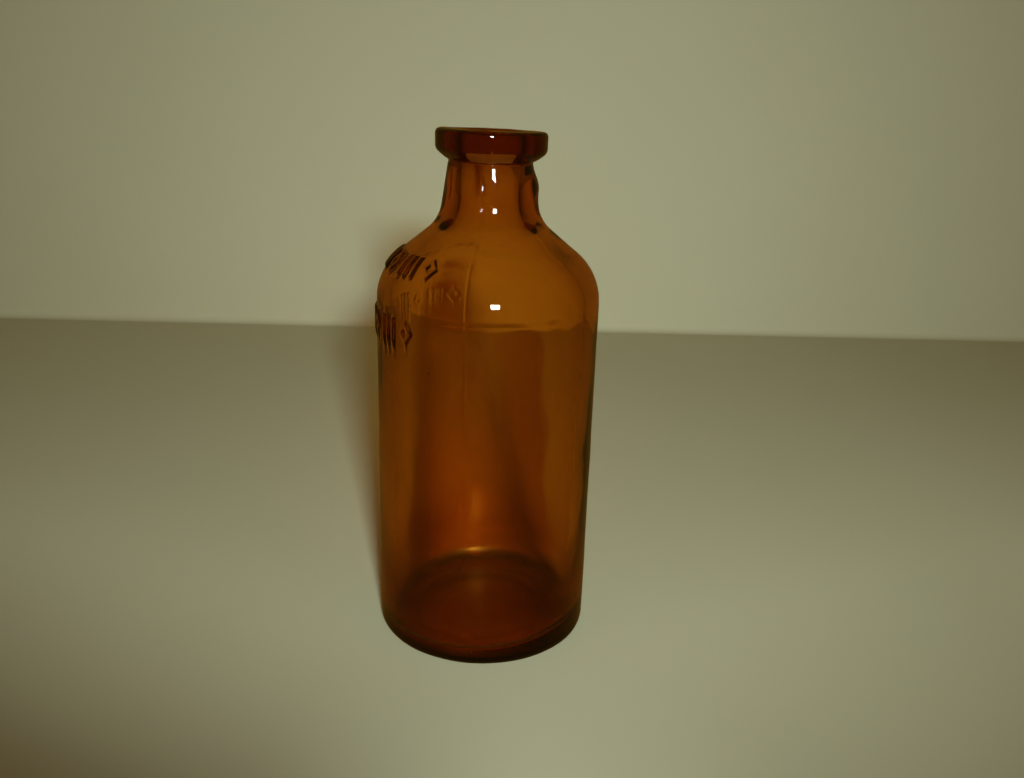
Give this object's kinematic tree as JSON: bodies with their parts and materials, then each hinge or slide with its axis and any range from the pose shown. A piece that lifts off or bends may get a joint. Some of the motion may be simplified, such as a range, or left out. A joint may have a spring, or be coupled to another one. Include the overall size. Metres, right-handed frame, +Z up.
{
  "type": "amber medicine bottle",
  "caption": "Round amber glass medicine bottle with sloping shoulders, a cork bore under an applied lip, a thick base and raised marks on its front.",
  "frame": {"origin": "centre of the base on the plane that the bottle stands on", "axes": "+Z up the bottle's axis to the mouth; the raised marks face -Y; the mould seams lie at +X and -X"},
  "size_m": [0.054, 0.0545, 0.126],
  "materials": {
    "amber_glass": "fire-polished blown amber glass, a little wavy, with seeds and light wear",
    "amber_lip_glass": "thick tooled amber glass, redder and darker, with fine turning lines"
  },
  "bodies": {
    "root": {"bottle_body": "amber_glass", "applied_lip": "amber_lip_glass"}
  },
  "joints": []
}
